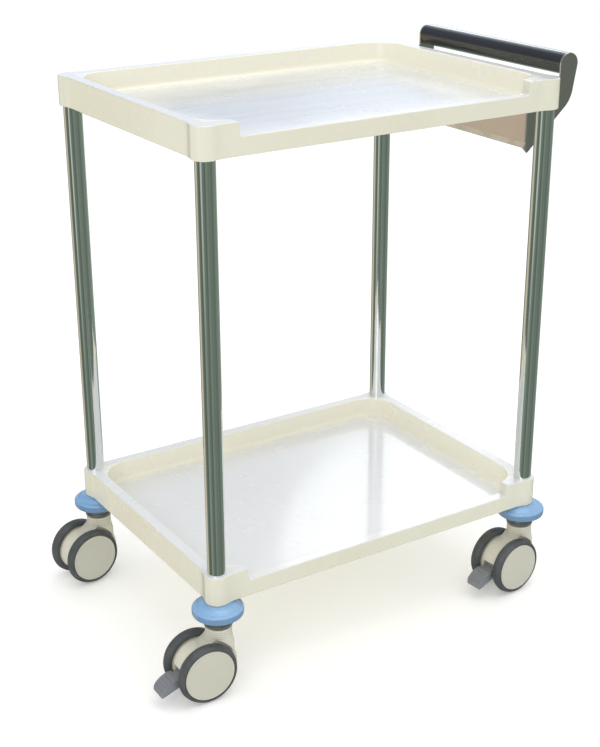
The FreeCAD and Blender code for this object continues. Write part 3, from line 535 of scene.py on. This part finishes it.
def leg(corner):
    """Open tube with its ends just broken."""
    low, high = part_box(f"leg_tube_{corner}")
    radius = (high.x - low.x) / 2
    wall = 1.5 * MM
    height = high.z - low.z
    broken = 0.4 * MM
    profile = rounded([
        (radius - wall, 0), (radius, 0, broken), (radius, height, broken), (radius - wall, height),
    ])
    centre = ((low.x + high.x) / 2, (low.y + high.y) / 2, low.z)
    builder = stand_on(lathe(profile, LEG_SEGMENTS), centre)
    finish_piece(f"polished_leg_{corner}", builder, "frame", f"leg_tube_{corner}", "leg_steel")


def bumper(corner):
    """Blue disc: flat underside, full round edge and a gently domed top, on a short collar."""
    low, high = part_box(f"bumper_disc_{corner}")
    radius = (high.x - low.x) / 2
    centre = ((low.x + high.x) / 2, (low.y + high.y) / 2, low.z)
    height = high.z - low.z
    rim_low = 8.5 * MM
    rim_high = height - 9 * MM
    collar = 22.5 * MM
    bore = 6.2 * MM
    dome_steps = 9
    dome = []
    for step in range(1, dome_steps):
        share = step / dome_steps
        dome.append((radius - 5 * MM - (radius - 28 * MM) * share,
                     rim_high + 7.8 * MM * math.sin(share * math.pi / 2)))
    profile = rounded([
        (bore, 0), (collar, 0, 1.2 * MM), (collar, rim_low - 1 * MM, 1.5 * MM),
        (collar + 5 * MM, rim_low, 1 * MM), (radius, rim_low, 5.5 * MM), (radius, rim_high, 5.0 * MM),
        *dome, (22 * MM, height), (bore, height),
    ], steps=7)
    builder = stand_on(lathe(profile, DISC_SEGMENTS), centre)
    finish_piece(f"bumper_{corner}", builder, "frame", f"bumper_disc_{corner}", "bumper_plastic")


def wheel_frame(joint_name):
    """A wheel's middle and the direction of its axle."""
    joint = joints[joint_name]
    return Vector(joint["pos_m"]), Vector(joint["axis"])


def tyre(corner, side, sign):
    """Crowned tyre with a moulding line round its middle and a lip against the cap."""
    middle, axis = wheel_frame(f"roll_{corner}_{side}")
    half = WHEEL_HALF
    line_height = 0.18 * MM
    crown = []
    steps = 22
    for step in range(steps + 1):
        across = -half + 1.6 * MM + (2 * half - 3.2 * MM) * step / steps
        drop = (across / half) ** 2 * 3.4 * MM
        ridge = line_height if abs(across) < 0.5 * MM else 0
        crown.append((WHEEL_RADIUS - 0.05 * MM - drop - (line_height - ridge), across))
    profile = [(40.0 * MM, -half), (44.0 * MM, -half), (45.6 * MM, -half + 0.5 * MM)]
    profile += crown
    profile += [
        (45.6 * MM, half - 0.5 * MM), (44.6 * MM, half), (43.2 * MM, half), (42.9 * MM, half - 0.6 * MM),
        (42.1 * MM, half - 0.6 * MM), (42.0 * MM, half - 3 * MM), (40.0 * MM, half - 3 * MM),
    ]
    builder = stand_on(lathe(profile, WHEEL_SEGMENTS), middle, axis * sign)
    finish_piece(f"tyre_ring_{corner}_{side}", builder, f"wheel_{corner}_{side}", f"tyre_{corner}_{side}",
                 "tyre_rubber")


def hub_cap(corner, side, sign):
    """Flat cap with a raised, rounded rim, a faint step inside it and a gate mark at its centre."""
    middle, axis = wheel_frame(f"roll_{corner}_{side}")
    face = WHEEL_HALF
    profile = [
        (0, face - 3 * MM), (41.9 * MM, face - 3 * MM), (41.9 * MM, face + 0.1 * MM),
        (41.6 * MM, face + 0.45 * MM),
        (41.0 * MM, face + 0.65 * MM), (40.2 * MM, face + 0.68 * MM), (39.6 * MM, face + 0.5 * MM),
        (39.1 * MM, face + 0.1 * MM), (38.6 * MM, face - 0.1 * MM), (38.0 * MM, face - 0.12 * MM),
        (36.4 * MM, face - 0.1 * MM), (30 * MM, face + 0.02 * MM), (18 * MM, face + 0.16 * MM),
        (3.4 * MM, face + 0.2 * MM), (3.0 * MM, face + 0.05 * MM), (2.2 * MM, face), (0, face),
    ]
    builder = stand_on(lathe(profile, WHEEL_SEGMENTS), middle, axis * sign)
    finish_piece(f"cap_{corner}_{side}", builder, f"wheel_{corner}_{side}", f"hub_cap_{corner}_{side}",
                 "cap_plastic")


# Where the ribs run round a drum, in degrees from the forward side
PLAIN_ARCS = [(92, 348)]
BRAKED_ARCS = [(92, 166), (218, 348)]


def drum_ribs(corner):
    """Fine raised ribs round the drum between the wheels, clear of the brake slot."""
    front, axis = wheel_frame(f"roll_{corner}_front")
    rear, _ = wheel_frame(f"roll_{corner}_rear")
    centre = (front + rear) / 2
    half = 16.4 * MM
    count = 11
    pitch = 2 * half / count
    root = 37.9 * MM
    foot = 38.45 * MM
    crest = 38.85 * MM
    profile = [(root, -half)]
    for rib in range(count):
        low = -half + pitch * rib
        profile += [(foot, low), (crest, low + 0.5 * MM), (crest, low + pitch - 0.7 * MM),
                    (foot, low + pitch - 0.2 * MM)]
    profile.append((root, half))
    forward = axis.cross(UP)
    basis = Matrix((forward, UP, forward.cross(UP))).transposed().to_4x4()
    arcs = BRAKED_ARCS if corner in BRAKED else PLAIN_ARCS
    for number, (first, last) in enumerate(arcs, start=1):
        builder = lathe(profile, max(8, (last - first) // 3), math.radians(first), math.radians(last - first))
        bmesh.ops.transform(builder, matrix=Matrix.Translation(centre) @ basis, verts=builder.verts)
        finish_piece(f"drum_ribs_{corner}_{number}", builder, f"fork_{corner}", None, "caster_plastic")


def grip():
    """Sleeve on the handle bar, its ends rolled in where they meet the side plates."""
    low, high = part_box("handle_grip")
    radius = (high.z - low.z) / 2
    length = high.y - low.y
    inside = radius - 6 * MM
    roll = 1.2 * MM
    profile = rounded([(inside, 0), (radius, 0, roll), (radius, length, roll), (inside, length)], steps=6)
    start = ((low.x + high.x) / 2, low.y, (low.z + high.z) / 2)
    builder = stand_on(lathe(profile, DISC_SEGMENTS), start, (0, 1, 0))
    finish_piece("grip_sleeve", builder, "frame", "handle_grip", "grip_rubber")


for corner in CORNERS:
    leg(corner)
    bumper(corner)
    drum_ribs(corner)
    for side, sign in (("front", -1), ("rear", 1)):
        tyre(corner, side, sign)
        hub_cap(corner, side, sign)
grip()
for ear in ("handle_ear_front", "handle_ear_rear"):
    softened_copy(ear, "frame", "handle_steel", 0.6 * MM)
softened_copy("handle_panel", "frame", "handle_steel", 0.25 * MM)
for corner in BRAKED:
    softened_copy(f"brake_pedal_{corner}", f"pedal_{corner}", "pedal_plastic", 0.7 * MM)


# ---------------------------------------------------------------------- stage and light

# What stands round the trolley for polished metal to mirror, in degrees about +Z and brightness.
# The stops were chosen so that the legs look as they do in the photograph.
PANELS = [
    (-180, 0.13), (-175, 0.24), (-166, 0.27), (-158, 0.26), (-153, 0.19), (-140, 0.175), (-131, 0.13),
    (-122, 0.13), (-116, 0.24), (-104, 0.21), (-85, 0.17), (-74, 0.19), (-60, 0.155), (-50, 0.14),
    (-38, 0.195), (-10, 0.23), (16, 0.28), (48, 0.50), (72, 0.34), (90, 0.12), (98, 0.13), (105, 0.60),
    (136, 0.56), (143, 0.20), (155, 0.17), (168, 0.12), (180, 0.13),
]
GLINT = [(-180, 0), (-174, 0.30), (-163, 0.30), (-157, 0), (180, 0)]
MIRROR_TINT = (0.90, 1.12, 0.94)
BEIGE_TINT = (1.08, 0.96, 0.74)
BEIGE_DEGREES = (100, 140)

# The mirrored sky by height, and two changes to it by its share of the way round
PLAIN = (1, 1, 1)
DIM = (0.3, 0.31, 0.33)
BRIGHT = (1.8, 1.9, 2.1)
SKY = [
    (0.0, (0.42, 0.45, 0.43)), (0.16, (0.66, 0.72, 0.80)),
    (0.35, (0.80, 0.88, 1.0)), (1.0, (0.86, 0.92, 1.02)),
]
SHADE_SIDE = [(0.0, PLAIN), (0.70, PLAIN), (0.76, DIM), (0.93, DIM), (1.0, PLAIN)]
WINDOW = [(0.0, PLAIN), (0.53, PLAIN), (0.60, BRIGHT), (0.70, BRIGHT), (0.75, PLAIN), (1.0, PLAIN)]

# Where one mirrored part gives way to the next, as the Z of the direction looked in
GLINT_TOP = (-0.36, -0.26)
WINDOW_TOP = (0.15, 0.185)
HORIZON = (-0.05, 0.16)
UNDERFOOT = (-0.55, -0.8)
UNDERFOOT_COLOUR = (0.20, 0.22, 0.20)
SOFT_LIGHT = (1.0, 1.0, 0.99)
SOFT_STRENGTH = 0.86


def colour_ramp(tree, value, stops):
    """A colour that follows a value from 0 to 1 through stops of (value, colour)."""
    node = tree.nodes.new("ShaderNodeValToRGB")
    elements = node.color_ramp.elements
    elements[0].position, elements[0].color = stops[0][0], (*stops[0][1], 1)
    elements[1].position, elements[1].color = stops[-1][0], (*stops[-1][1], 1)
    for position, colour in stops[1:-1]:
        elements.new(position).color = (*colour, 1)
    link(tree, value, node.inputs["Fac"])
    return node.outputs["Color"]


def floor():
    """Plain pale floor, flat and wide; polished metal doesn't mirror it."""
    builder = bmesh.new()
    bmesh.ops.create_grid(builder, x_segments=40, y_segments=40, size=14)
    mesh = bpy.data.meshes.new("floor")
    builder.to_mesh(mesh)
    builder.free()
    piece = bpy.data.objects.new("floor", mesh)
    bpy.context.scene.collection.objects.link(piece)
    material, tree, shader = new_material("floor_paint")
    tint = mix_colours(tree, noise(tree, 0.8, 3), (0.93, 0.93, 0.93), (0.95, 0.95, 0.95))
    link(tree, tint, shader.inputs["Base Color"])
    set_inputs(shader, Roughness=0.7)
    shader.inputs["Specular IOR Level"].default_value = 0.2
    shader.inputs["Emission Color"].default_value = (1, 1, 1, 1)
    shader.inputs["Emission Strength"].default_value = 0.20
    mesh.materials.append(material)
    piece.visible_glossy = False


def panel_colour(degrees, level):
    """A panel's brightness with its tint."""
    tint = BEIGE_TINT if BEIGE_DEGREES[0] < degrees < BEIGE_DEGREES[1] else MIRROR_TINT
    return tuple(level * channel for channel in tint)


def background(tree, colour, strength):
    node = tree.nodes.new("ShaderNodeBackground")
    node.inputs["Strength"].default_value = strength
    if isinstance(colour, tuple):
        node.inputs["Color"].default_value = (*colour, 1)
    else:
        link(tree, colour, node.inputs["Color"])
    return node.outputs[0]


def choose(tree, switch, otherwise, chosen):
    """The chosen shader where the switch is 1, and the other one where it is 0."""
    node = tree.nodes.new("ShaderNodeMixShader")
    for socket, source in zip(node.inputs, (switch, otherwise, chosen)):
        link(tree, source, socket)
    return node.outputs[0]


def mirrored_room(tree):
    """What polished metal mirrors: panels and a glint below, a pale sky with a window above."""
    direction = split_axes(tree, tree.nodes.new("ShaderNodeTexCoord").outputs["Generated"])
    around = calculate(tree, "ARCTAN2", direction["Y"], direction["X"])
    height = direction["Z"]
    share = remap(tree, around, -math.pi, math.pi, 0, 1)
    panel_stops = [((degrees + 180) / 360, panel_colour(degrees, level)) for degrees, level in PANELS]
    glint_stops = [((degrees + 180) / 360, (level,) * 3) for degrees, level in GLINT]
    panels = colour_ramp(tree, share, panel_stops)
    glint = colour_ramp(tree, share, glint_stops)
    panels = mix_colours(tree, remap(tree, height, *GLINT_TOP, 0, 1), panels, glint, "ADD")
    sky = colour_ramp(tree, remap(tree, height, 0, 1, 0, 1), SKY)
    sky = mix_colours(tree, 1, sky, colour_ramp(tree, share, SHADE_SIDE), "MULTIPLY")
    window = colour_ramp(tree, share, WINDOW)
    sky = mix_colours(tree, remap(tree, height, *WINDOW_TOP, 1, 0), sky, window, "MULTIPLY")
    mirrored = mix_colours(tree, remap(tree, height, *HORIZON, 0, 1), panels, sky)
    return mix_colours(tree, remap(tree, height, *UNDERFOOT, 0, 1), mirrored, UNDERFOOT_COLOUR)


def studio_world():
    """White to the eye and for soft light; polished metal mirrors panels round a pale sky."""
    world = bpy.data.worlds.new("studio")
    bpy.context.scene.world = world
    world.use_nodes = True
    tree = world.node_tree
    tree.nodes.clear()
    path = tree.nodes.new("ShaderNodeLightPath")
    soft = background(tree, SOFT_LIGHT, SOFT_STRENGTH)
    shiny = background(tree, mirrored_room(tree), 1.0)
    seen = background(tree, (1, 1, 1), 1.0)
    lit = choose(tree, path.outputs["Is Glossy Ray"], soft, shiny)
    shown = choose(tree, path.outputs["Is Camera Ray"], lit, seen)
    output = tree.nodes.new("ShaderNodeOutputWorld")
    link(tree, shown, output.inputs["Surface"])


def area_light(name, place, target, size, power, colour=(1, 1, 1)):
    """A round soft lamp that faces its target."""
    data = bpy.data.lights.new(name, "AREA")
    data.shape = "DISK"
    data.size = size
    data.energy = power
    data.color = colour
    lamp = bpy.data.objects.new(name, data)
    lamp.location = place
    lamp.rotation_euler = (Vector(target) - Vector(place)).to_track_quat("-Z", "Y").to_euler()
    bpy.context.scene.collection.objects.link(lamp)


# The view, found by matching the photograph: metres from the trays' middle, degrees and millimetres
EYE_OFFSET = (-1.2148, -1.8815)
EYE_HEIGHT = 1.3084
EYE_DEGREES = (67.756, 0.174, -32.601)
SENSOR_HEIGHT = 36
LENS = 67.95


def camera():
    """Three-quarter view from the front left, a little above the upper tray."""
    data = bpy.data.cameras.new("view")
    data.sensor_fit = "VERTICAL"
    data.sensor_height = SENSOR_HEIGHT
    data.lens = LENS
    eye = bpy.data.objects.new("view", data)
    eye.location = (CENTRE_X + EYE_OFFSET[0], CENTRE_Y + EYE_OFFSET[1], EYE_HEIGHT)
    eye.rotation_euler = Euler([math.radians(degrees) for degrees in EYE_DEGREES], "XYZ")
    bpy.context.scene.collection.objects.link(eye)
    bpy.context.scene.camera = eye


floor()
studio_world()
area_light("overhead", place=(0.3, -0.4, 3.2), target=(0, 0, 0.4), size=2.6, power=20,
           colour=(1.0, 0.99, 0.97))
area_light("front_left", place=(-2.6, -2.2, 1.9), target=(0, 0, 0.5), size=1.8, power=18)
area_light("behind", place=(2.5, 3.0, 2.5), target=(0.2, 0, 0.8), size=1.2, power=8, colour=(0.96, 0.98, 1.0))
camera()
bpy.context.scene.view_settings.view_transform = "Standard"
